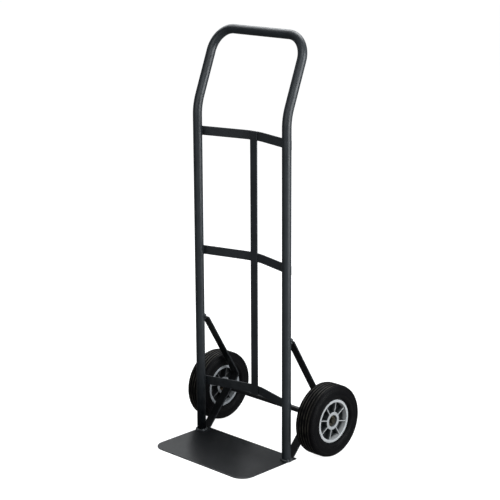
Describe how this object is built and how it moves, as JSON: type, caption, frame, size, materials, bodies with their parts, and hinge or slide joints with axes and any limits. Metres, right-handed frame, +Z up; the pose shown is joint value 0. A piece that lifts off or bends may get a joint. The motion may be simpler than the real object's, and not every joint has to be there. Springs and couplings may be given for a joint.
{
  "type": "hand truck",
  "caption": "Upright two-wheeled hand truck with a looped tube handle, flat toe plate, bowed crossbars and solid rubber wheels on a through axle.",
  "frame": {"origin": "on the toe plate's underside, midway between the two rails, which is also the floor", "axes": "+Z up, +Y back towards the wheels, +X along the axle; the toe plate reaches forward along -Y"},
  "size_m": [0.4858, 0.4015, 1.1663],
  "materials": {
    "frame_paint": "satin powder coat",
    "plate_paint": "satin powder coat",
    "bar_paint": "satin powder coat",
    "axle_paint": "satin paint over plain steel bar",
    "zinc": "yellow zinc plate",
    "bushing": "oiled sintered bronze",
    "hub": "satin light grey moulding",
    "tyre": "moulded rubber, slight sheen"
  },
  "bodies": {
    "frame": {"frame_tube": "frame_paint", "toe_plate": "plate_paint", "lower_crossbar": "bar_paint", "middle_crossbar": "bar_paint", "upper_crossbar": "bar_paint", "centre_strap": "bar_paint", "axle_brace_left": "bar_paint", "axle_brace_right": "bar_paint", "axle": "axle_paint", "axle_spacer_left": "zinc", "axle_spacer_right": "zinc", "axle_washer_left": "zinc", "axle_washer_right": "zinc", "cotter_pin_left": "zinc", "cotter_pin_right": "zinc"},
    "wheel_left": {"hub_left": "hub", "tyre_left": "tyre", "inner_bushing_left": "bushing", "outer_bushing_left": "bushing"},
    "wheel_right": {"hub_right": "hub", "tyre_right": "tyre", "inner_bushing_right": "bushing", "outer_bushing_right": "bushing"}
  },
  "joints": [
    {"name": "left_wheel_spin", "type": "hinge", "parent": "frame", "child": "wheel_left", "pos_m": [-0.2124, 0.1164, 0.1016], "axis": [1, 0, 0], "continuous": true},
    {"name": "right_wheel_spin", "type": "hinge", "parent": "frame", "child": "wheel_right", "pos_m": [0.2124, 0.1164, 0.1016], "axis": [1, 0, 0], "continuous": true}
  ]
}
